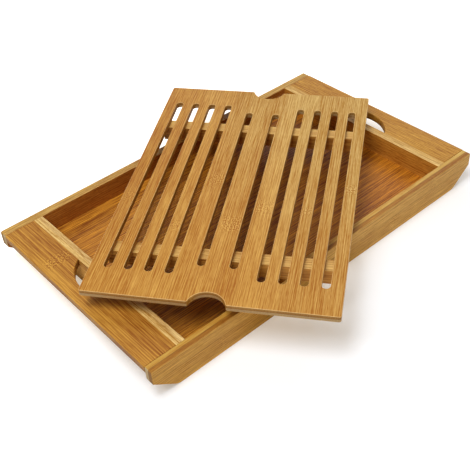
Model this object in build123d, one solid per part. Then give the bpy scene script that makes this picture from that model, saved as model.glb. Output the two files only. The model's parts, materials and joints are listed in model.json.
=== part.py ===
from build123d import *
import os

# A bread board with a crumb catcher: a bamboo tray, and a slotted rack that drops into it.
# The rack has been lifted out and lies turned across the rails.
# Lengths are in millimetres and angles in degrees.
# X runs along the rails, Y across the tray and Z up.
# Each piece is drawn about the middle of the tray or of the rack, and placed at the end.
# The origin is on the table, under the middle of the whole object.

# Tray
cavity_length = 360.0
cavity_width = 242.0
cavity_depth = 25.0
tray_height = 37.0
rail_thickness = 9.8
wall_thickness = 10.0
wall_lift = 5.0
floor_thickness = 5.0
groove_depth = 4.0
groove_end_gap = 0.5

# Rail ends: an upright nose over an undercut that rises from the foot
nose_height = 16.0
undercut_length = 26.0
nose_top_radius = 2.2
nose_lower_radius = 1.8
foot_radius = 12.0

# Handles
handle_width = 35.3
handle_thickness = 8.6
handle_edge_radius = 1.4
handle_under_radius = 1.0
grip_length = 72.5
grip_depth = 20.0
grip_edge_chamfer = 0.6

# Dowels between the rails and the cross pieces
dowel_diameter = 5.0
dowel_length = 22.0
dowel_chamfer = 0.6
dowel_glue_gap = 0.15
rail_hole_depth = 6.0
glue_pocket = 1.0
wall_dowel_rise = 8.0

# Slotted rack
rack_clearance = 1.2
rim_drop = 1.0
board_thickness = 6.8
board_corner_radius = 2.0
slot_width = 8.1
long_slot_margin = 33.1
short_slot_margin = 46.8
edge_slat_width = 13.0
wide_slat_width = 19.65
middle_slat_width = 23.1
long_slots_a_side = 4
notch_length = 35.8
notch_depth = 14.1
notch_corner_radius = 1.0
batten_width = 14.8
batten_setback = 63.1
batten_inset = 6.0

# Where the tray stands on the table, and how the rack lies across its rails
tray_shift_y = 10.7
rack_shift_x = -10.1
rack_turn = 37.4

# Softened edges
outer_edge_chamfer = 0.4
inner_edge_radius = 0.4
board_edge_chamfer = 0.5
slot_edge_chamfer = 0.4
batten_chamfer = 0.6

# Cuts run this far past the faces that they open
overrun = 5.0

# Sizes that follow from those above
tray_length = cavity_length + 2 * (wall_thickness + handle_width)
floor_top = tray_height - cavity_depth
floor_underside = floor_top - floor_thickness
wall_outer_face = cavity_length / 2 + wall_thickness
rack_length = cavity_length - 2 * rack_clearance
rack_width = cavity_width - 2 * rack_clearance
edge_to_short_slot = (rack_width - middle_slat_width) / 2 - slot_width
narrow_slats = edge_to_short_slot - edge_slat_width - wide_slat_width - long_slots_a_side * slot_width
slat_width = narrow_slats / (long_slots_a_side - 1)
batten_height = cavity_depth - rim_drop - board_thickness
batten_length = rack_width - 2 * batten_inset
batten_centre = rack_length / 2 - batten_setback - batten_width / 2

# Middles of the dowels on a joint face
wall_dowel_x = cavity_length / 2 + wall_thickness / 2
wall_dowel_z = floor_top + wall_dowel_rise
handle_dowel_x = wall_outer_face + handle_width / 2
handle_dowel_z = tray_height - handle_thickness / 2

# Each piece of the tray is drawn on one side and turned round for the other
half_turn = Rot(0, 0, 180)

# Places of the finished tray and rack
on_table = Pos(0, tray_shift_y, 0)
on_rails = Pos(rack_shift_x, 0, tray_height) * Rot(0, 0, rack_turn)


def block(low, high):
    """A box from its low corner to its high corner."""
    size = [b - a for a, b in zip(low, high)]
    middle = [(a + b) / 2 for a, b in zip(low, high)]
    return Pos(*middle) * Box(*size)


def arc_radius(chord, rise):
    """Radius of an arc over a chord."""
    return ((chord / 2) ** 2 + rise**2) / (2 * rise)


def rod_along_y(x, start_y, end_y, z, radius):
    """A round rod between two planes across Y."""
    rod = Cylinder(radius, abs(end_y - start_y), rotation=(90, 0, 0))
    return Pos(x, (start_y + end_y) / 2, z) * rod


def dowel_hole(place, face_y, end_y):
    """A blind hole from a joint face, at an X and Z."""
    x, z = place
    return rod_along_y(x, face_y, end_y, z, dowel_diameter / 2 + dowel_glue_gap)


def wall_dowel_place(side):
    return (side * wall_dowel_x, wall_dowel_z)


def handle_dowel_place(side):
    return (side * handle_dowel_x, handle_dowel_z)


def rail_outline():
    """Side view of a rail: flat foot, undercut ends and upright noses."""
    end = tray_length / 2
    foot = end - undercut_length
    nose_foot = tray_height - nose_height
    points = [
        (-foot, 0),
        (foot, 0),
        (end, nose_foot),
        (end, tray_height),
        (-end, tray_height),
        (-end, nose_foot),
    ]
    outline = make_face(Polyline(*points, close=True))
    rounds = ((0, foot_radius), (nose_foot, nose_lower_radius), (tray_height, nose_top_radius))
    for height, radius in rounds:
        corners = [v for v in outline.vertices() if abs(v.Y - height) < inner_edge_radius]
        outline = fillet(corners, radius)
    return outline


def front_rail():
    """A rail with its floor groove and the dowel holes of one side of the tray."""
    inner_y = -cavity_width / 2
    outer_y = inner_y - rail_thickness
    rail = Pos(0, inner_y, 0) * extrude(Plane.XZ * rail_outline(), rail_thickness)
    outer_face = rail.faces().sort_by(Axis.Y)[0]
    rail = chamfer(outer_face.outer_wire().edges(), outer_edge_chamfer)
    top_inner = rail.edges().filter_by(Axis.X).group_by(Axis.Y)[-1].sort_by(Axis.Z)[-1]
    rail = fillet(top_inner, inner_edge_radius)
    groove_end = cavity_length / 2 + groove_depth
    rail -= block(
        (-groove_end, inner_y - groove_depth, floor_underside),
        (groove_end, inner_y + overrun, floor_top),
    )
    for side in (-1, 1):
        for place in (wall_dowel_place(side), handle_dowel_place(side)):
            rail -= dowel_hole(place, inner_y, inner_y - rail_hole_depth)
    return rail


def right_end_wall():
    """A cross wall of the crumb tray, grooved for the floor."""
    half_width = cavity_width / 2
    inner_x = cavity_length / 2
    wall = block((inner_x, -half_width, wall_lift), (wall_outer_face, half_width, tray_height))
    inner_top = wall.edges().filter_by(Axis.Y).group_by(Axis.Z)[-1].sort_by(Axis.X)[0]
    wall = fillet(inner_top, inner_edge_radius)
    wall -= block(
        (inner_x - overrun, -half_width - overrun, floor_underside),
        (inner_x + groove_depth, half_width + overrun, floor_top),
    )
    hole_depth = dowel_length - rail_hole_depth + glue_pocket
    for end in (-1, 1):
        face_y = end * half_width
        wall -= dowel_hole(wall_dowel_place(1), face_y, face_y - end * hole_depth)
    return wall


def right_handle():
    """A handle board with a half-moon opening against the end wall."""
    half_width = cavity_width / 2
    outer_x = tray_length / 2
    underside = tray_height - handle_thickness
    board = block((wall_outer_face, -half_width, underside), (outer_x, half_width, tray_height))
    long_edges = board.edges().filter_by(Axis.Y).group_by(Axis.X)[-1].sort_by(Axis.Z)
    board = fillet(long_edges[-1], handle_edge_radius)
    long_edges = board.edges().filter_by(Axis.Y).group_by(Axis.Z)[0].sort_by(Axis.X)
    board = fillet(long_edges[-1], handle_under_radius)
    radius = arc_radius(grip_length, grip_depth)
    grip = Cylinder(radius, handle_thickness + 2 * overrun)
    board -= Pos(wall_outer_face + grip_depth - radius, 0, underside + handle_thickness / 2) * grip
    board = chamfer(board.edges().filter_by(GeomType.CIRCLE), grip_edge_chamfer)
    hole_depth = dowel_length - rail_hole_depth + glue_pocket
    for end in (-1, 1):
        face_y = end * half_width
        board -= dowel_hole(handle_dowel_place(1), face_y, face_y - end * hole_depth)
    return board


def tray_floor():
    """The floor panel, held in the grooves all round."""
    reach = groove_depth - groove_end_gap
    half_length = cavity_length / 2 + reach
    half_width = cavity_width / 2 + reach
    return block((-half_length, -half_width, floor_underside), (half_length, half_width, floor_top))


def dowels(places):
    """Dowels on both rails, each one home in its rail hole."""
    pieces = []
    for end in (-1, 1):
        home_y = end * (cavity_width / 2 + rail_hole_depth)
        for x, z in places:
            rod = rod_along_y(x, home_y, home_y - end * dowel_length, z, dowel_diameter / 2)
            pieces.append(chamfer(rod.edges().filter_by(GeomType.CIRCLE), dowel_chamfer))
    return Compound(pieces)


def slot_places():
    """Distance of each slot from the middle line of the rack, and its length."""
    long_slot = rack_length - 2 * long_slot_margin
    short_slot = rack_length - 2 * short_slot_margin
    outermost = rack_width / 2 - edge_slat_width - slot_width / 2
    places = []
    for side in (-1, 1):
        for step in range(long_slots_a_side):
            places.append((side * (outermost - step * (slot_width + slat_width)), long_slot))
        places.append((side * (middle_slat_width + slot_width) / 2, short_slot))
    return places


def board_outline():
    """Plan of the slotted board: a finger notch in the middle of each short edge."""
    outline = Rectangle(rack_length, rack_width)
    radius = arc_radius(notch_length, notch_depth)
    for end in (-1, 1):
        outline -= Pos(end * (rack_length / 2 - notch_depth + radius), 0) * Circle(radius)
    corners = [v for v in outline.vertices() if abs(v.Y) > notch_length]
    outline = fillet(corners, board_corner_radius)
    mouths = [v for v in outline.vertices() if abs(v.Y) < notch_length]
    return fillet(mouths, notch_corner_radius)


def slotted_board():
    """The cutting surface: one board with routed slots, soft edges and finger notches."""
    board = Pos(0, 0, batten_height) * extrude(board_outline(), board_thickness)
    faces = board.faces().filter_by(Axis.Z)
    rim = [edge for face in faces for edge in face.outer_wire().edges()]
    board = chamfer(rim, board_edge_chamfer)
    for y, length in slot_places():
        cutter = extrude(SlotOverall(length, slot_width), board_thickness + 2 * overrun)
        board -= Pos(0, y, batten_height - overrun) * cutter
    faces = board.faces().filter_by(Axis.Z)
    mouths = [edge for face in faces for wire in face.inner_wires() for edge in wire.edges()]
    return chamfer(mouths, slot_edge_chamfer)


def batten(end):
    """A cross batten that lifts the board over the crumbs."""
    half = (batten_width / 2, batten_length / 2)
    strip = block((-half[0], -half[1], 0), (half[0], half[1], batten_height))
    low_edges = strip.edges().filter_by(Axis.Y).group_by(Axis.Z)[0]
    end_edges = strip.edges().filter_by(Axis.Z)
    return Pos(end * batten_centre, 0, 0) * chamfer(low_edges + end_edges, batten_chamfer)


front = front_rail()
right_wall = right_end_wall()
right_grip = right_handle()

tray = {
    "front_rail": front,
    "back_rail": half_turn * front,
    "left_end_wall": half_turn * right_wall,
    "right_end_wall": right_wall,
    "left_handle": half_turn * right_grip,
    "right_handle": right_grip,
    "tray_floor": tray_floor(),
    "wall_dowels": dowels([wall_dowel_place(-1), wall_dowel_place(1)]),
    "handle_dowels": dowels([handle_dowel_place(-1), handle_dowel_place(1)]),
}
rack = {
    "slotted_board": slotted_board(),
    "near_batten": batten(-1),
    "far_batten": batten(1),
}

nodes = {name: on_table * piece for name, piece in tray.items()}
nodes.update({name: on_rails * piece for name, piece in rack.items()})

os.makedirs("parts", exist_ok=True)
for name, solid in nodes.items():
    export_step(solid, f"parts/{name}.step")
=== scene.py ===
import json
import math

import bpy
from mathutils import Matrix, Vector

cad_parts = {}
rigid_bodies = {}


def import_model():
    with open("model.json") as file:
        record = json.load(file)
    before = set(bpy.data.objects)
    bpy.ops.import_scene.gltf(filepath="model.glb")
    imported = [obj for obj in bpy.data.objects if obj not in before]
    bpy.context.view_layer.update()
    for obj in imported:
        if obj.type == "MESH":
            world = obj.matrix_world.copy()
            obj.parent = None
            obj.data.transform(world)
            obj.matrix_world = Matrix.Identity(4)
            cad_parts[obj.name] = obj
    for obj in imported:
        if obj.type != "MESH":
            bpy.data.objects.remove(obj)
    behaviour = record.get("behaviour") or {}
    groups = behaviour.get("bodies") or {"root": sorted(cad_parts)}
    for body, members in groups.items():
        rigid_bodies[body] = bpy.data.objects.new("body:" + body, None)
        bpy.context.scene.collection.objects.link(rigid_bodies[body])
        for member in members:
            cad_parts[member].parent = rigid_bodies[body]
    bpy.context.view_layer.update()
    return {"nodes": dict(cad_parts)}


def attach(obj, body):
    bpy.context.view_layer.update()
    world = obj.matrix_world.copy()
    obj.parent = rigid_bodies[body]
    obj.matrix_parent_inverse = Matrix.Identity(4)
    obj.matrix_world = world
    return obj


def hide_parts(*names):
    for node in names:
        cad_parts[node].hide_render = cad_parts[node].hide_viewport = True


for leftover in list(bpy.data.objects):  # the start-up cube, lamp and camera
    bpy.data.objects.remove(leftover)

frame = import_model()
nodes = frame["nodes"]
mm = 0.001
print("frame loaded:", len(nodes), "nodes")


# Helpers that keep the node trees and the studio short

def addNode(tree, kind, values=None, **settings):
    node = tree.nodes.new(kind)
    for key, value in settings.items():
        setattr(node, key, value)
    for key, value in (values or {}).items():
        feed(tree, node.inputs[key], value)
    return node


def feed(tree, socket, value):
    if isinstance(value, bpy.types.NodeSocket):
        tree.links.new(value, socket)
    else:
        socket.default_value = value


def addInputs(tree, kinds):
    for kind, names in kinds.items():
        for name in names:
            tree.interface.new_socket(name, in_out="INPUT", socket_type="NodeSocket" + kind)


def addObject(name, data):
    item = bpy.data.objects.new(name, data)
    bpy.context.scene.collection.objects.link(item)
    return item


def calc(tree, operation, a, b=0.0):
    return addNode(tree, "ShaderNodeMath", {0: a, 1: b}, operation=operation).outputs[0]


def softStep(tree, value, low, high, start=0.0, end=1.0):
    values = {"Value": value, "From Min": low, "From Max": high, "To Min": start, "To Max": end}
    return addNode(tree, "ShaderNodeMapRange", values, interpolation_type="SMOOTHSTEP").outputs[0]


def vectorOf(tree, x, y, z):
    return addNode(tree, "ShaderNodeCombineXYZ", {0: x, 1: y, 2: z}).outputs[0]


def noise(tree, place, detail, roughness):
    values = {"Vector": place, "Scale": 1.0, "Detail": detail, "Roughness": roughness}
    return addNode(tree, "ShaderNodeTexNoise", values).outputs["Fac"]


def blendColour(tree, factor, a, b, mode="MIX", clamped=True):
    node = addNode(tree, "ShaderNodeMix", data_type="RGBA", blend_type=mode, clamp_factor=clamped)
    for index, value in ((0, factor), (6, a), (7, b)):  # 6 and 7 are the node's two colours
        feed(tree, node.inputs[index], value)
    return node.outputs[2]


def colour(red, green, blue):  # 0 to 255, as a colour picker shows it
    def linear(value):
        value /= 255
        return value / 12.92 if value <= 0.04045 else ((value + 0.055) / 1.055) ** 2.4
    return (linear(red), linear(green), linear(blue), 1.0)


# Bamboo is glued up from strips in plies, so one group makes it as a solid.
# X runs along the grain, Y across the strips and Z through the plies, in millimetres.

# Each layer of the grain: its waves to the millimetre along and across, then its detail and roughness
grainLayers = {
    "broad": (0.004, 0.14, 2.0, 0.55), "streak": (0.02, 0.75, 2.0, 0.55), "fine": (0.06, 1.2, 2.0, 0.6),
    "fleck": (0.26, 0.95, 1.0, 0.55), "lines": (0.003, 0.42, 1.0, 0.55),
    "stripeSway": (0.005, 0.11, 1.0, 0.55), "stripeFade": (0.02, 0.08, 1.0, 0.55),
}
streakShares = {"broad": 0.36, "streak": 0.4, "fine": 2.8, "fleck": 0.9}  # what Streaks gives to each

# What all the bamboo shares. Waves are to the millimetre, Detail is a noise's detail and roughness, and
# every other pair holds the two ends of a soft step
bambooBody = {
    "plyStagger": 0.43,  # how far each ply's strips step past those of the ply below, in strips
    "rollAlong": 900.0, "rollAcross": 70.0,  # how far chance may shift the grain of a strip, in millimetres
    "stripesToMillimetre": 0.38, "stripeSway": 3.0, "stripeRoll": 5.0,
    "stripeFade": (0.3, 0.6), "faintest": 0.3,
    "bundleWaves": (0.035, 0.62), "bundleEdge": (0.12, 0.4),
    "cloudWaves": 0.012, "cloudDetail": (2.0, 0.5), "cloudTone": 0.5,
    "knuckleRoll": 7.0, "knuckleEdge": (1.0, 11.0), "brokenWaves": (0.5, 0.8), "brokenDetail": (2.0, 0.6),
    "darkFlecks": (0.5, 0.6), "darkFleckTone": 0.5, "paleFlecks": (0.5, 0.4), "paleFleckTone": 0.45,
    "palest": -0.3, "deepest": 1.1,
    "flatFace": (0.5, 0.9), "endFace": (0.55, 0.9), "endShare": 0.6,
    "warmRoll": 0.3, "driftToMillimetre": 0.01,
    "stripGlue": (0.05, 0.28), "stripGlueShare": 0.6, "plyGlue": (0.08, 0.36),
    "glueColour": colour(81, 49, 20), "rubbedEdgeHighlightColour": colour(242, 200, 134),
    "roughness": 0.4, "streakRoughness": 0.16, "bundleRoughness": 0.08, "endRoughness": 0.18,
    "specular": 0.25, "fineHeight": 0.5, "bundleDepth": 0.5, "fleckDepth": 0.6,
    "bump": 0.5, "bumpDepth": 0.15,
}


def buildBambooGroup(body):
    tree = bpy.data.node_groups.new("bambooStrips", "ShaderNodeTree")
    addInputs(tree, {
        "Vector": ("Place", "Facing"),
        "Color": ("Pale", "Deep", "Second Ply", "End Grain", "Second End",
                  "Face Shade Tint", "Edge Tint", "Warm Tint"),
        "Float": ("Shaded Face", "Warmth", "Warm Along", "Warm Across", "Grain Length", "Lines", "Pinstripes",
                  "Strip Width", "Ply Thickness", "Strip Shift", "Ply Shift", "Seed", "Tone", "Strip Spread",
                  "Streaks", "Fibres", "Glue", "Knuckles", "Knuckle Spacing", "Placed Knuckles", "Arris Wear And Highlight"),
    })
    for name, kind in (("Colour", "Color"), ("Roughness", "Float"), ("Height", "Float")):
        tree.interface.new_socket(name, in_out="OUTPUT", socket_type="NodeSocket" + kind)
    given = tree.nodes.new("NodeGroupInput").outputs
    result = tree.nodes.new("NodeGroupOutput").inputs

    def plus(a, b):
        return calc(tree, "ADD", a, b)

    def minus(a, b):
        return calc(tree, "SUBTRACT", a, b)

    def times(a, b):
        return calc(tree, "MULTIPLY", a, b)

    def size(a):
        return calc(tree, "ABSOLUTE", a)

    def around(value, strength):
        return times(minus(value, 0.5), strength)

    place = addNode(tree, "ShaderNodeSeparateXYZ", {0: given["Place"]}).outputs
    facing = addNode(tree, "ShaderNodeSeparateXYZ", {0: given["Facing"]}).outputs

    # Which ply and which strip a point is in, and how far it is from their glue lines
    plyPlace = plus(calc(tree, "DIVIDE", place[2], given["Ply Thickness"]), given["Ply Shift"])
    ply = calc(tree, "FLOOR", plyPlace)
    stripPlace = plus(calc(tree, "DIVIDE", place[1], given["Strip Width"]), given["Strip Shift"])
    stripPlace = plus(stripPlace, times(ply, body["plyStagger"]))
    strip = calc(tree, "FLOOR", stripPlace)
    dicePlace = vectorOf(tree, strip, ply, given["Seed"])
    dice = addNode(tree, "ShaderNodeTexWhiteNoise", {0: dicePlace}, noise_dimensions="3D")
    roll = addNode(tree, "ShaderNodeSeparateColor", {0: dice.outputs["Color"]}).outputs
    stripEdge = times(calc(tree, "PINGPONG", stripPlace, 0.5), given["Strip Width"])
    plyEdge = times(calc(tree, "PINGPONG", plyPlace, 0.5), given["Ply Thickness"])

    # Grain: broad and fine streaks, short flecks, long lines, and dark bundles that end here and there
    def grainPlace(along, across):
        x = calc(tree, "DIVIDE", plus(place[0], times(roll[0], body["rollAlong"])), given["Grain Length"])
        y = plus(place[1], times(roll[1], body["rollAcross"]))
        return vectorOf(tree, times(x, along), times(y, across), times(place[2], across))

    layers = {}
    for name, (along, across, detail, roughness) in grainLayers.items():
        layers[name] = noise(tree, grainPlace(along, across), detail, roughness)
    bundlePlace = grainPlace(*body["bundleWaves"])
    cells = addNode(tree, "ShaderNodeTexVoronoi", {"Vector": bundlePlace, "Scale": 1.0}, feature="F1")
    bundle = softStep(tree, cells.outputs["Distance"], *body["bundleEdge"], 1.0, 0.0)
    cloudPlace = vectorOf(tree, *[times(place[axis], body["cloudWaves"]) for axis in range(3)])
    cloud = noise(tree, cloudPlace, *body["cloudDetail"])

    # Pinstripes: even lines along the grain, which sway a little and fade in and out
    turns = times(place[1], body["stripesToMillimetre"])
    turns = plus(turns, times(layers["stripeSway"], body["stripeSway"]))
    turns = plus(turns, times(roll[1], body["stripeRoll"]))
    pinstripes = calc(tree, "SINE", times(turns, 2 * math.pi))
    fade = softStep(tree, layers["stripeFade"], *body["stripeFade"], body["faintest"], 1.0)
    pinstripes = times(pinstripes, fade)

    # Knuckles: a band of broken fibres across one strip, in dark and pale flecks
    spacing = given["Knuckle Spacing"]
    phase = plus(calc(tree, "DIVIDE", place[0], spacing), times(roll[2], body["knuckleRoll"]))
    away = times(calc(tree, "PINGPONG", phase, 0.5), spacing)
    band = times(softStep(tree, away, *body["knuckleEdge"], 1.0, 0.0), given["Knuckles"])
    band = calc(tree, "MAXIMUM", band, given["Placed Knuckles"])
    along, across = body["brokenWaves"]
    brokenPlace = vectorOf(tree, times(place[0], along), times(place[1], across), place[2])
    broken = noise(tree, brokenPlace, *body["brokenDetail"])
    darkFleck = times(softStep(tree, broken, *body["darkFlecks"]), band)
    paleFleck = times(softStep(tree, broken, *body["paleFlecks"]), band)

    # Tone, from pale at 0 to deep at 1
    tone = plus(given["Tone"], around(roll[0], given["Strip Spread"]))
    for name, share in streakShares.items():
        tone = plus(tone, around(layers[name], times(given["Streaks"], share)))
    tone = plus(tone, around(layers["lines"], given["Lines"]))
    tone = plus(tone, around(cloud, body["cloudTone"]))
    tone = plus(tone, times(pinstripes, given["Pinstripes"]))
    tone = plus(tone, times(bundle, given["Fibres"]))
    tone = plus(tone, times(darkFleck, body["darkFleckTone"]))
    tone = minus(tone, times(paleFleck, body["paleFleckTone"]))
    tone = addNode(tree, "ShaderNodeClamp", {0: tone, 1: body["palest"], 2: body["deepest"]}).outputs[0]

    # Every other ply takes the second colour as its pale end
    oddPly = calc(tree, "MODULO", size(ply), 2.0)
    paleHere = blendColour(tree, oddPly, given["Pale"], given["Second Ply"])
    wood = blendColour(tree, tone, paleHere, given["Deep"], clamped=False)
    # Painted shade: the faces the material picks are multiplied by the face tint, darker and redder
    wood = blendColour(tree, given["Shaded Face"], wood, given["Face Shade Tint"], "MULTIPLY")

    # The narrow faces of the other plies have a tint of their own
    edge = softStep(tree, size(facing[2]), *body["flatFace"], 1.0, 0.0)
    wood = blendColour(tree, times(edge, minus(1.0, oddPly)), wood, given["Edge Tint"], "MULTIPLY")

    # Some strips are warmer than others, and a board may drift from warm to cool
    warmth = plus(given["Warmth"], around(roll[1], body["warmRoll"]))
    for axis, drift in ((0, given["Warm Along"]), (1, given["Warm Across"])):
        warmth = plus(warmth, times(times(place[axis], body["driftToMillimetre"]), drift))
    wood = blendColour(tree, softStep(tree, warmth, 0.0, 1.0), wood, given["Warm Tint"], "MULTIPLY")

    # End grain has colours of its own, glue lines are dark, and arrises are rubbed pale, partly as a painted
    # highlight
    endGrain = softStep(tree, size(facing[0]), *body["endFace"])
    endWood = blendColour(tree, oddPly, given["End Grain"], given["Second End"])
    wood = blendColour(tree, times(endGrain, body["endShare"]), wood, endWood)
    stripGlue = softStep(tree, stripEdge, *body["stripGlue"], body["stripGlueShare"], 0.0)
    plyGlue = softStep(tree, plyEdge, *body["plyGlue"], 1.0, 0.0)
    glueLine = times(calc(tree, "MAXIMUM", stripGlue, plyGlue), given["Glue"])
    wood = blendColour(tree, glueLine, wood, body["glueColour"])
    # Rounded arrises are lightened: partly wear, partly a painted highlight along the edge
    flatness = calc(tree, "POWER", facing[2], 2.0)
    arris = times(times(flatness, minus(1.0, flatness)), 4.0)  # 1 where a face is halfway round the edge
    wood = blendColour(tree, times(arris, given["Arris Wear And Highlight"]), wood, body["rubbedEdgeHighlightColour"])
    feed(tree, result["Colour"], wood)

    sheen = plus(times(layers["streak"], body["streakRoughness"]), times(bundle, body["bundleRoughness"]))
    sheen = plus(sheen, times(endGrain, body["endRoughness"]))
    feed(tree, result["Roughness"], plus(sheen, body["roughness"]))
    height = minus(times(layers["fine"], body["fineHeight"]), times(bundle, body["bundleDepth"]))
    height = minus(minus(height, glueLine), times(darkFleck, body["fleckDepth"]))
    feed(tree, result["Height"], height)
    return tree


bambooGroup = buildBambooGroup(bambooBody)

rackPlace = {"location": (-10.1 * mm, 0, 0), "turn": math.radians(37.4)}  # how the rack lies across the tray
upright = math.pi / 2

# How the board of each piece is turned: the tilt that lays its grain, strips and plies on X, Y and Z
lays = {
    "alongRails": (0, 0, 0),
    "uprightAlongRails": (upright, 0, 0),
    "acrossTray": (0, 0, upright),
    "uprightAcrossTray": (upright, 0, upright),
    "alongRack": (0, 0, rackPlace["turn"]),
    "acrossRack": (0, 0, rackPlace["turn"] + upright),
}
knuckleCore = {"along": 0.2, "across": 0.7}  # the share of a placed knuckle that has its full strength


# Faces that look along the given axis (0 the grain, 1 the strips, 2 the plies) take the face tint, which is
# painted shade: darker and redder, for the shade and warm bounce that fall on these faces. With a side of
# 1 or -1, only those on that side take it
def bambooMaterial(name, lay, look, centre=(0, 0, 0), knuckles=(), shadeAxis=2, shadeSide=0):
    material = bpy.data.materials.new(name)
    material.use_nodes = True
    tree = material.node_tree
    shader = tree.nodes["Principled BSDF"]
    source = tree.nodes.new("ShaderNodeTexCoord").outputs
    turned = {"Vector": source["Normal"], "Rotation": lays[lay]}
    facing = addNode(tree, "ShaderNodeMapping", turned, vector_type="TEXTURE").outputs[0]
    laid = {"Vector": source["Object"], "Location": centre, "Rotation": lays[lay], "Scale": (mm, mm, mm)}
    place = addNode(tree, "ShaderNodeMapping", laid, vector_type="TEXTURE").outputs[0]

    spot = addNode(tree, "ShaderNodeSeparateXYZ", {0: place}).outputs
    placed = 0.0
    for along, across, halfLength, halfWidth, strength in knuckles:
        x = calc(tree, "ABSOLUTE", calc(tree, "SUBTRACT", spot[0], along))
        y = calc(tree, "ABSOLUTE", calc(tree, "SUBTRACT", spot[1], across))
        lengthways = softStep(tree, x, knuckleCore["along"] * halfLength, halfLength, strength, 0.0)
        sideways = softStep(tree, y, knuckleCore["across"] * halfWidth, halfWidth, 1.0, 0.0)
        placed = calc(tree, "MAXIMUM", placed, calc(tree, "MULTIPLY", lengthways, sideways))

    face = addNode(tree, "ShaderNodeSeparateXYZ", {0: facing}).outputs[shadeAxis]
    face = calc(tree, "MULTIPLY", face, shadeSide) if shadeSide else calc(tree, "ABSOLUTE", face)
    shadedFace = softStep(tree, face, *bambooBody["flatFace"])

    values = {"Place": place, "Facing": facing, "Placed Knuckles": placed, "Shaded Face": shadedFace, **look}
    bamboo = addNode(tree, "ShaderNodeGroup", node_tree=bambooGroup)
    for key, value in values.items():
        feed(tree, bamboo.inputs[key], value)
    relief = {
        "Strength": bambooBody["bump"], "Distance": bambooBody["bumpDepth"] * mm,
        "Height": bamboo.outputs["Height"],
    }
    feed(tree, shader.inputs["Normal"], addNode(tree, "ShaderNodeBump", relief).outputs[0])
    feed(tree, shader.inputs["Base Color"], bamboo.outputs["Colour"])
    feed(tree, shader.inputs["Roughness"], bamboo.outputs["Roughness"])
    feed(tree, shader.inputs["Specular IOR Level"], bambooBody["specular"])
    return material


rackCentre = (rackPlace["location"][0], 0, 0)
untinted = colour(255, 255, 255)
rackLook = {
    "Pale": colour(206, 170, 99), "Deep": colour(162, 108, 1), "Second Ply": colour(206, 170, 99),
    "End Grain": colour(115, 78, 37), "Second End": colour(171, 147, 108),
    "Face Shade Tint": untinted, "Edge Tint": untinted,
    "Warm Tint": colour(243, 219, 172), "Warmth": 0.75, "Warm Along": -0.25, "Warm Across": 0.5,
    "Strip Width": 20.0, "Ply Thickness": 3.8, "Strip Shift": 0.3, "Ply Shift": 0.842,
    "Grain Length": 1.8, "Seed": 3.0, "Tone": 0.5, "Strip Spread": 0.36,
    "Streaks": 0.9, "Lines": 0.25, "Pinstripes": 0.2, "Fibres": 0.15,
    "Glue": 0.3, "Knuckles": 0.0, "Knuckle Spacing": 240.0, "Arris Wear And Highlight": 0.8,
}
handleLook = {
    **rackLook,
    "Pale": colour(197, 145, 57), "Deep": colour(141, 83, 14), "Second Ply": colour(197, 145, 57),
    # The very dark end-grain colours fall on the grip walls: painted shade of the deep grip, over the end
    # grain's own darker tone
    "End Grain": colour(60, 28, 8), "Second End": colour(66, 32, 10), "Edge Tint": colour(232, 239, 248),
    "Warm Tint": colour(245, 235, 220), "Warmth": 0.5, "Warm Along": 0.0, "Warm Across": 0.0,
    "Strip Width": 17.0, "Ply Thickness": 6.0, "Ply Shift": -0.233,
    "Grain Length": 3.0, "Seed": 11.0, "Streaks": 1.0, "Lines": 0.45, "Arris Wear And Highlight": 0.0,
}
rightHandleLook = {
    **handleLook,
    "Pale": colour(206, 156, 61), "Deep": colour(148, 91, 15), "Second Ply": colour(206, 156, 61),
    "Grain Length": 1.2, "Seed": 12.0, "Streaks": 0.8,
}
# The front rail's finish is lighter than the bamboo's own colour: painted light for its brightly lit front
# face
frontRailLitLook = {
    **handleLook,
    "Pale": colour(242, 191, 96), "Deep": colour(169, 107, 21), "Second Ply": colour(205, 168, 88),
    "End Grain": colour(133, 99, 54), "Second End": colour(183, 167, 135),
    "Face Shade Tint": colour(255, 237, 203), "Edge Tint": colour(188, 169, 135),
    "Warm Tint": colour(243, 237, 207), "Warm Along": -0.2,
    "Strip Width": 18.0, "Ply Thickness": 5.3, "Ply Shift": 0.264,
    "Grain Length": 1.2, "Seed": 7.0, "Streaks": 0.5, "Lines": 0.2,
    "Glue": 0.55, "Knuckles": 0.35, "Arris Wear And Highlight": 0.1,
}
# The back rail's copy is darker, and darker and redder still on its inner face: painted shade of the tray's
# inside
backRailShadedLook = {
    **frontRailLitLook,
    "Pale": colour(212, 169, 92), "Deep": colour(139, 87, 16), "Second Ply": colour(202, 162, 90),
    "Face Shade Tint": colour(255, 212, 170), "Edge Tint": colour(246, 245, 245), "Warm Along": 0.0,
    "Ply Shift": 0.774, "Seed": 8.0, "Streaks": 0.75,
}
innerLook = {  # what the end walls and the battens share
    **handleLook, "End Grain": colour(116, 74, 28), "Second End": colour(149, 121, 83), "Edge Tint": untinted,
    "Warm Tint": colour(250, 240, 228),
}
wallLook = {
    **innerLook,
    "Pale": colour(217, 181, 112), "Deep": colour(161, 110, 32), "Second Ply": colour(212, 174, 100),
    "Face Shade Tint": colour(237, 199, 130), "Strip Width": 16.0, "Ply Thickness": 5.3, "Ply Shift": 0.906,
    "Grain Length": 1.0, "Seed": 17.0, "Tone": 0.32, "Lines": 0.7, "Glue": 0.25,
}
leftWallLook = {
    **wallLook,
    "Pale": colour(231, 199, 133), "Second Ply": colour(226, 194, 123),
    "Face Shade Tint": colour(255, 228, 180), "Tone": 0.26, "Streaks": 0.8,
}
rightWallLook = {**wallLook, "Seed": 18.0, "Ply Shift": 0.094}
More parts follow.
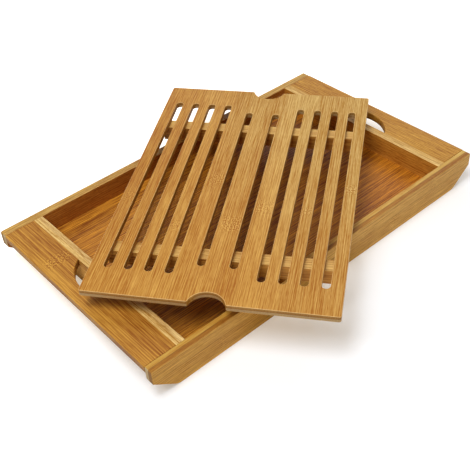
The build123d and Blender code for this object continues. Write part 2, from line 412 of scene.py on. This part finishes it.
floorLook = {
    **handleLook,
    "Pale": colour(207, 138, 44), "Deep": colour(124, 67, 9), "Second Ply": colour(198, 133, 40),
    "Edge Tint": untinted, "Warm Tint": colour(252, 238, 205), "Warm Along": 0.3, "Strip Width": 19.0,
    "Grain Length": 2.4, "Seed": 23.0, "Streaks": 1.1, "Lines": 1.0, "Glue": 0.45, "Arris Wear And Highlight": 0.1,
}
battenLook = {
    **innerLook,
    "Pale": colour(209, 172, 98), "Deep": colour(153, 99, 27), "Second Ply": colour(206, 167, 92),
    "Face Shade Tint": colour(250, 223, 182), "Strip Width": 5.0, "Ply Thickness": 20.0, "Ply Shift": 0.2,
    "Seed": 29.0, "Tone": 0.26, "Streaks": 0.9, "Lines": 0.6, "Glue": 0.35,
}
dowelLook = {**battenLook, "Seed": 31.0, "Strip Width": 9.0, "Glue": 0.0}

# Each knuckle: how far along and across it lies, its half length and half width, and how strong it is
rackKnuckles = [
    (0, 28, 18, 9.8, 1.0), (-69, -2, 18, 11.5, 1.5), (-40, -30, 16, 9.8, 1.3), (-40, -73, 10, 6, 1.2),
    (0, -114, 11, 6.5, 1.6), (-79, 53, 13, 6, 1.3), (-38, 112, 14, 6.5, 0.9),
]
handleKnuckles = [(61, 206, 12, 16, 1.7)]
rackMaterial = bambooMaterial("rackBamboo", "alongRack", rackLook, rackCentre, rackKnuckles)
battenMaterial = bambooMaterial("battenBamboo", "acrossRack", battenLook, rackCentre, shadeAxis=1)
floorMaterial = bambooMaterial("floorBamboo", "alongRails", floorLook)
dowelMaterial = bambooMaterial("dowelBamboo", "uprightAlongRails", dowelLook)

finishes = {
    "front_rail": bambooMaterial("frontRailLitBamboo", "uprightAlongRails", frontRailLitLook, shadeSide=-1),
    "back_rail": bambooMaterial("backRailShadedBamboo", "uprightAlongRails", backRailShadedLook, shadeSide=1),
    "left_end_wall": bambooMaterial("leftWallBamboo", "uprightAcrossTray", leftWallLook),
    "right_end_wall": bambooMaterial("rightWallBamboo", "uprightAcrossTray", rightWallLook, shadeSide=-1),
    "left_handle": bambooMaterial("leftHandleBamboo", "acrossTray", handleLook, knuckles=handleKnuckles),
    "right_handle": bambooMaterial("rightHandleBamboo", "acrossTray", rightHandleLook),
    "tray_floor": floorMaterial, "wall_dowels": dowelMaterial, "handle_dowels": dowelMaterial,
    "slotted_board": rackMaterial, "near_batten": battenMaterial, "far_batten": battenMaterial,
}
for name, material in finishes.items():
    slots = nodes[name].data.materials
    slots.clear()
    slots.append(material)
print("materials made:", len(bpy.data.materials))


# The slotted board follows a rule, so a node tree makes it: slots stepped in from both sides, rims rounded.
# Lengths are in millimetres, and Steps say how finely a curve is cut

slottedBoard = {
    "length": 357.6, "width": 239.6, "thickness": 6.8, "lift": 54.2,
    "corner": 2.0, "notchLength": 35.8, "notchDepth": 14.1, "notchCorner": 1.0,
    "slotWidth": 8.1, "longSlotMargin": 33.1, "shortSlotMargin": 46.8, "longSlotsASide": 4,
    "edgeSlat": 13.0, "wideSlat": 19.65, "middleSlat": 23.1, "rimRadius": 0.4, "weldGap": 0.01,
    "cornerSteps": 5, "notchSteps": 24, "notchCornerSteps": 4, "slotEndSteps": 7, "rimSteps": 2,
}


def arcPoints(centre, radius, start, end, steps):
    angles = [math.radians(start + (end - start) * i / steps) for i in range(steps + 1)]
    return [(centre[0] + radius * math.cos(angle), centre[1] + radius * math.sin(angle)) for angle in angles]


def boardOutline(board):  # one end with its corners and notch, then the same turned half round
    endX, sideY = board["length"] / 2, board["width"] / 2
    corner, mouth, depth = board["corner"], board["notchCorner"], board["notchDepth"]
    cornerSteps, mouthSteps = board["cornerSteps"], board["notchCornerSteps"]
    notchRadius = ((board["notchLength"] / 2) ** 2 + depth ** 2) / (2 * depth)
    notchX, mouthX = endX - depth + notchRadius, endX - mouth
    mouthY = math.sqrt((notchRadius + mouth) ** 2 - (notchX - mouthX) ** 2)
    lean = math.degrees(math.atan2(mouthY, notchX - mouthX))
    end = arcPoints((endX - corner, corner - sideY), corner, -90, 0, cornerSteps)
    end += arcPoints((mouthX, -mouthY), mouth, 0, lean, mouthSteps)
    end += arcPoints((notchX, 0), notchRadius, 180 + lean, 180 - lean, board["notchSteps"])[1:-1]
    end += arcPoints((mouthX, mouthY), mouth, -lean, 0, mouthSteps)
    end += arcPoints((endX - corner, sideY - corner), corner, 0, 90, cornerSteps)
    return end + [(-x, -y) for x, y in end]


def buildBoardTree(material):
    tree = bpy.data.node_groups.new("slottedBoard", "GeometryNodeTree")
    addInputs(tree, {
        "Geometry": ("Geometry",),
        "Vector": ("Place",),
        "Int": ("Long Slots", "Slot End Steps", "Rim Steps"),
        "Float": ("Thickness", "Rim Radius", "Slot Width", "Long Slot", "Short Slot",
                  "Outermost Slot", "Slot Pitch", "Innermost Slot", "Weld Gap", "Turn"),
    })
    tree.interface.new_socket("Geometry", in_out="OUTPUT", socket_type="NodeSocketGeometry")
    given = tree.nodes.new("NodeGroupInput").outputs
    index = tree.nodes.new("GeometryNodeInputIndex").outputs[0]

    def make(kind, values, **settings):
        return addNode(tree, "GeometryNode" + kind, values, **settings).outputs[0]

    def compare(a, operation, b):
        values = {0: a, 1: b}
        return addNode(tree, "FunctionNodeCompare", values, data_type="FLOAT", operation=operation).outputs[0]

    def join(*parts):
        node = tree.nodes.new("GeometryNodeJoinGeometry")
        for part in reversed(parts):
            tree.links.new(part, node.inputs[0])
        return node.outputs[0]

    # Even points lie on one side of the middle line and odd ones on the other, each pair a step further in
    side = calc(tree, "SUBTRACT", calc(tree, "MULTIPLY", calc(tree, "MODULO", index, 2.0), 2.0), 1.0)
    step = calc(tree, "FLOOR", calc(tree, "DIVIDE", index, 2.0))
    longY = calc(tree, "SUBTRACT", given["Outermost Slot"], calc(tree, "MULTIPLY", step, given["Slot Pitch"]))
    slotEnd = {"Count": given["Slot End Steps"], "Radius": calc(tree, "DIVIDE", given["Slot Width"], 2.0)}
    longSlots = (given["Long Slots"], longY, given["Long Slot"])
    middlePair = (2, given["Innermost Slot"], given["Short Slot"])
    rims = [given["Geometry"]]
    for count, offset, length in (longSlots, middlePair):
        spot = vectorOf(tree, 0.0, calc(tree, "MULTIPLY", side, offset), 0.0)
        spots = make("Points", {"Count": count, "Position": spot})
        box = make("CurvePrimitiveQuadrilateral", {"Width": length, "Height": given["Slot Width"]})
        slot = make("FilletCurve", {"Curve": box, "Limit Radius": True, **slotEnd}, mode="POLY")
        slot = make("ReverseCurve", {"Curve": slot})  # so the wall faces into the slot
        copies = make("InstanceOnPoints", {"Points": spots, "Instance": slot})
        rims.append(make("RealizeInstances", {0: copies}))
    rims = make("SetCurveNormal", {"Curve": join(*rims)}, mode="Z_UP")

    # The section of the wall: four corners, from the top face down to the bottom one, the middle two rounded
    middle = 1.5  # halfway between the second corner and the third, counted from 0
    outermost = compare(calc(tree, "ABSOLUTE", calc(tree, "SUBTRACT", index, middle)), "GREATER_THAN", 1.0)
    x = calc(tree, "MULTIPLY", calc(tree, "MULTIPLY", outermost, given["Rim Radius"]), -1.0)
    topTwo = compare(index, "LESS_THAN", middle)
    y = calc(tree, "MULTIPLY", calc(tree, "MULTIPLY", topTwo, given["Thickness"]), -1.0)
    section = make("Points", {"Count": 4, "Position": vectorOf(tree, x, y, 0.0)})
    section = make("PointsToCurves", {"Points": section})
    rounding = {"Count": given["Rim Steps"], "Radius": given["Rim Radius"]}
    section = make("FilletCurve", {"Curve": section, "Limit Radius": True, **rounding}, mode="POLY")
    walls = make("CurveToMesh", {"Curve": rims, "Profile Curve": section})
    walls = make("SetShadeSmooth", {"Geometry": walls, "Shade Smooth": True})

    # The open rims at the top are filled, once for the top face and once, turned over, for the bottom one
    height = addNode(tree, "ShaderNodeSeparateXYZ", {0: make("InputPosition", {})}).outputs[2]
    above = compare(height, "GREATER_THAN", calc(tree, "DIVIDE", given["Thickness"], 2.0))
    loose = compare(make("InputMeshEdgeNeighbors", {}), "LESS_THAN", 1.5)  # an edge with one face only
    topRims = addNode(tree, "FunctionNodeBooleanMath", {0: above, 1: loose}, operation="AND").outputs[0]
    topRims = make("MeshToCurve", {"Mesh": walls, "Selection": topRims})
    face = make("FillCurve", {"Curve": topRims}, mode="TRIANGLES")
    top = make("Transform", {"Geometry": face, "Translation": vectorOf(tree, 0.0, 0.0, given["Thickness"])})
    bottom = make("FlipFaces", {"Mesh": face})
    closed = make("MergeByDistance", {"Geometry": join(walls, top, bottom), "Distance": given["Weld Gap"]})
    turn = vectorOf(tree, 0.0, 0.0, given["Turn"])
    laid = make("Transform", {"Geometry": closed, "Translation": given["Place"], "Rotation": turn})
    real = make("RealizeInstances", {0: laid})
    finished = make("SetMaterial", {"Geometry": real, "Material": material})
    tree.links.new(finished, tree.nodes.new("NodeGroupOutput").inputs[0])
    return tree


def makeSlottedBoard(board, material):
    outline = boardOutline(board)
    curve = bpy.data.curves.new("slottedBoardOutline", "CURVE")
    curve.dimensions = "3D"
    spline = curve.splines.new("POLY")
    spline.points.add(len(outline) - 1)
    for point, (x, y) in zip(spline.points, outline):
        point.co = (x * mm, y * mm, 0, 1)
    spline.use_cyclic_u = True
    draft = addObject("slottedBoardDraft", curve)

    outermost = board["width"] / 2 - board["edgeSlat"] - board["slotWidth"] / 2
    innermost = (board["middleSlat"] + board["slotWidth"]) / 2
    steps = board["longSlotsASide"] - 1
    pitch = (outermost - innermost - board["wideSlat"] - board["slotWidth"]) / steps
    lengths = {
        "Thickness": board["thickness"], "Rim Radius": board["rimRadius"], "Slot Width": board["slotWidth"],
        "Long Slot": board["length"] - 2 * board["longSlotMargin"],
        "Short Slot": board["length"] - 2 * board["shortSlotMargin"],
        "Outermost Slot": outermost, "Slot Pitch": pitch, "Innermost Slot": innermost,
        "Weld Gap": board["weldGap"],
    }
    values = {name: length * mm for name, length in lengths.items()}
    values["Long Slots"] = 2 * board["longSlotsASide"]
    values["Slot End Steps"] = board["slotEndSteps"]
    values["Rim Steps"] = board["rimSteps"]
    values["Place"] = (rackPlace["location"][0], rackPlace["location"][1], board["lift"] * mm)
    values["Turn"] = rackPlace["turn"]
    modifier = draft.modifiers.new("slots", "NODES")
    modifier.node_group = buildBoardTree(material)
    for item in modifier.node_group.interface.items_tree:
        if item.in_out == "INPUT" and item.name in values:
            modifier[item.identifier] = values[item.name]

    ready = draft.evaluated_get(bpy.context.evaluated_depsgraph_get())
    boardMesh = bpy.data.meshes.new_from_object(ready)
    bpy.data.objects.remove(draft)  # the modifier goes with it
    return addObject("slottedCuttingBoard", boardMesh)


cuttingBoard = makeSlottedBoard(slottedBoard, rackMaterial)
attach(cuttingBoard, "rack")
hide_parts("slotted_board")
print("slotted board made:", len(cuttingBoard.data.polygons), "faces")


# Camera at the photograph's angle, in millimetres and degrees

camera = {
    "location": (-439.953, -510.212, 567.551), "tilt": (48.9215, 2.9569, -41.6887),
    "lens": 60.96, "sensor": 36,
}
eye = addObject("camera", bpy.data.cameras.new("camera"))
eye.location = Vector(camera["location"]) * mm
eye.rotation_euler = [math.radians(angle) for angle in camera["tilt"]]
eye.data.lens = camera["lens"]
eye.data.sensor_width = camera["sensor"]
bpy.context.scene.camera = eye
print("camera placed")

# Pale floor, in metres. To the camera it glows a little, which is painted light: least around a spot in front
# of the tray and more away from it, so that it looks white in full light, the shadow behind the tray is
# washed out and a warm shadow, its tone painted by the glow's colour, stays in front

studio = {
    "floorSize": 6.0, "floorColour": (0.8, 0.8, 0.8, 1), "seenFloor": (0.625, 0.675, 0.745, 1),
    "glowColour": (1, 0.865, 0.69, 1), "nearGlow": 0.378, "farGlow": 1.5,
    "glowSpot": (0, -0.35, 0), "glowFrom": 0.3, "glowTo": 0.85, "sky": 0.15,
}
half = studio["floorSize"] / 2
mesh = bpy.data.meshes.new("studioFloor")
mesh.from_pydata([(-half, -half, 0), (half, -half, 0), (half, half, 0), (-half, half, 0)], [], [(0, 1, 2, 3)])
floor = addObject("studioFloor", mesh)
paper = bpy.data.materials.new("studioPaper")
paper.use_nodes = True
tree = paper.node_tree
tree.nodes.clear()
ray = tree.nodes.new("ShaderNodeLightPath").outputs
shade = blendColour(tree, ray["Is Camera Ray"], studio["floorColour"], studio["seenFloor"])
matt = addNode(tree, "ShaderNodeBsdfDiffuse", {"Color": shade})
spot = {0: tree.nodes.new("ShaderNodeTexCoord").outputs["Object"], 1: studio["glowSpot"]}
away = addNode(tree, "ShaderNodeVectorMath", spot, operation="DISTANCE").outputs["Value"]
# Painted light: the glow grows away from the spot and washes out the shadow far from it
rise = softStep(tree, away, studio["glowFrom"], studio["glowTo"], studio["nearGlow"], studio["farGlow"])
strength = calc(tree, "MULTIPLY", ray["Is Camera Ray"], rise)
glow = addNode(tree, "ShaderNodeEmission", {"Color": studio["glowColour"], "Strength": strength})
both = addNode(tree, "ShaderNodeAddShader", {0: matt.outputs[0], 1: glow.outputs[0]})
addNode(tree, "ShaderNodeOutputMaterial", {0: both.outputs[0]})
mesh.materials.append(paper)

# A weak, even sky, which the camera and the reflections see as white

world = bpy.data.worlds.new("studioSky")
bpy.context.scene.world = world
world.use_nodes = True
tree = world.node_tree
ray = tree.nodes.new("ShaderNodeLightPath").outputs
sky = tree.nodes["Background"]
seen = calc(tree, "MAXIMUM", ray["Is Camera Ray"], ray["Is Glossy Ray"])
feed(tree, sky.inputs["Color"], (1, 1, 1, 1))
feed(tree, sky.inputs["Strength"], softStep(tree, seen, 0.0, 1.0, studio["sky"], 1.0))

# Lamps all round, the strongest of them high up and to the left. Places and sizes are in metres

lamps = {
    "overhead": {"place": (-0.6, -0.1, 1.9), "size": 0.7, "power": 18.4},
    "highLeft": {"place": (-0.9, -0.4, 1.7), "size": 0.8, "power": 8.6},
    "left": {"place": (-1.2, 0.0, 1.5), "size": 0.4, "power": 5.8},
    "front": {"place": (-0.35, -1.8, 0.6), "size": 1.0, "power": 5.0},
    "right": {"place": (1.2, 0.1, 1.5), "size": 1.0, "power": 5.0},
    "back": {"place": (0.9, 0.9, 1.3), "size": 1.2, "power": 4.0},
}
for name, lamp in lamps.items():
    light = bpy.data.lights.new(name, "AREA")
    light.size = lamp["size"]
    light.energy = lamp["power"]
    holder = addObject(name, light)
    holder.location = lamp["place"]
    holder.rotation_euler = (-Vector(lamp["place"])).to_track_quat("-Z", "Y").to_euler()

bpy.context.scene.view_settings.view_transform = "Standard"
print("studio made")
